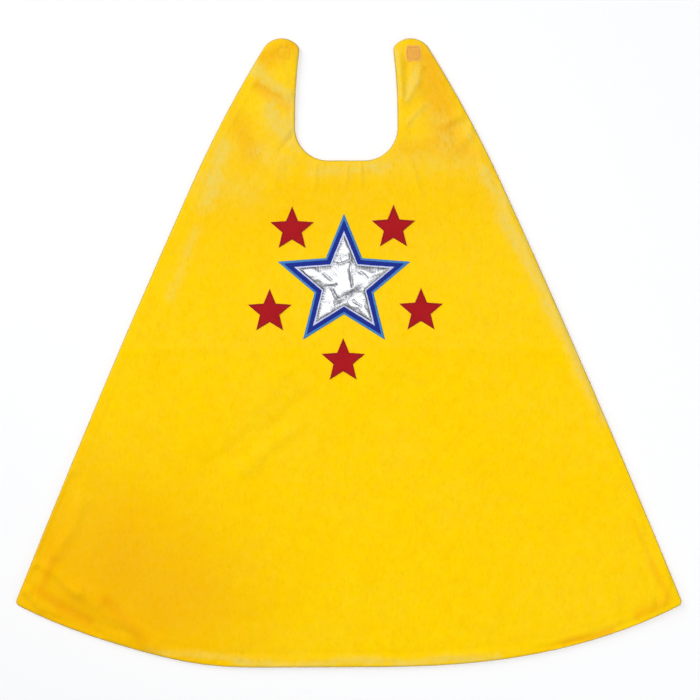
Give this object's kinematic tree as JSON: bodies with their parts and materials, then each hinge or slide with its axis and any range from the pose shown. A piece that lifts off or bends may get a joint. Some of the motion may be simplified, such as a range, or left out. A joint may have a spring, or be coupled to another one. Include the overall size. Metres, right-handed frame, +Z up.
{
  "type": "superhero cape",
  "caption": "Child's costume cape laid flat: flared yellow velour body, two neck straps with hook-and-loop patches, and a padded star emblem with smaller stars.",
  "frame": {"origin": "on the surface that the cape lies on, in the middle of its outline", "axes": "+X to the right as the emblem is read, +Y from the hem to the strap tips, +Z up out of the face"},
  "size_m": [0.7998, 0.756, 0.0087],
  "materials": {
    "yellow_velour": "velour, short dense pile with a soft sheen",
    "yellow_lining": "woven polyester lining, satin face",
    "olive_thread": "spun polyester seam thread",
    "white_backing": "non-woven embroidery backing, matte",
    "white_wadding": "polyester wadding, matte",
    "royal_blue_satin": "satin, woven",
    "light_blue_thread": "rayon embroidery thread, satin stitch",
    "silver_lame": "metallic lame cloth, bright and creased",
    "white_thread": "rayon embroidery thread, satin stitch",
    "red_satin": "satin, woven",
    "dark_red_thread": "rayon embroidery thread, satin stitch",
    "tan_hook_tape": "nylon hook tape",
    "tan_loop_tape": "nylon loop tape, brushed",
    "yellow_thread": "polyester sewing thread"
  },
  "bodies": {
    "cape": {"face_panel": "yellow_velour", "lining_panel": "yellow_lining", "seam_allowance": "yellow_velour", "seam_thread": "olive_thread", "embroidery_backing": "white_backing", "star_padding": "white_wadding", "blue_star": "royal_blue_satin", "blue_star_edging": "light_blue_thread", "silver_star": "silver_lame", "silver_star_edging": "white_thread", "red_star_upper_left": "red_satin", "red_star_upper_right": "red_satin", "red_star_left": "red_satin", "red_star_right": "red_satin", "red_star_lower": "red_satin", "red_star_edging_upper_left": "dark_red_thread", "red_star_edging_upper_right": "dark_red_thread", "red_star_edging_left": "dark_red_thread", "red_star_edging_right": "dark_red_thread", "red_star_edging_lower": "dark_red_thread"},
    "left_strap": {"left_strap_face": "yellow_velour", "left_strap_lining": "yellow_lining", "left_strap_allowance": "yellow_velour", "left_strap_thread": "olive_thread", "hook_patch": "tan_hook_tape", "hook_patch_stitching": "yellow_thread"},
    "right_strap": {"right_strap_face": "yellow_velour", "right_strap_lining": "yellow_lining", "right_strap_allowance": "yellow_velour", "right_strap_thread": "olive_thread", "loop_patch": "tan_loop_tape", "loop_patch_stitching": "yellow_thread"}
  },
  "joints": [
    {"name": "left_strap_fold", "type": "hinge", "parent": "cape", "child": "left_strap", "pos_m": [-0.115, 0.27, 0.0046], "axis": [1, 0, 0], "range_deg": [0, 165]},
    {"name": "right_strap_fold", "type": "hinge", "parent": "cape", "child": "right_strap", "pos_m": [0.105, 0.27, 0.0046], "axis": [1, 0, 0], "range_deg": [0, 165]}
  ]
}
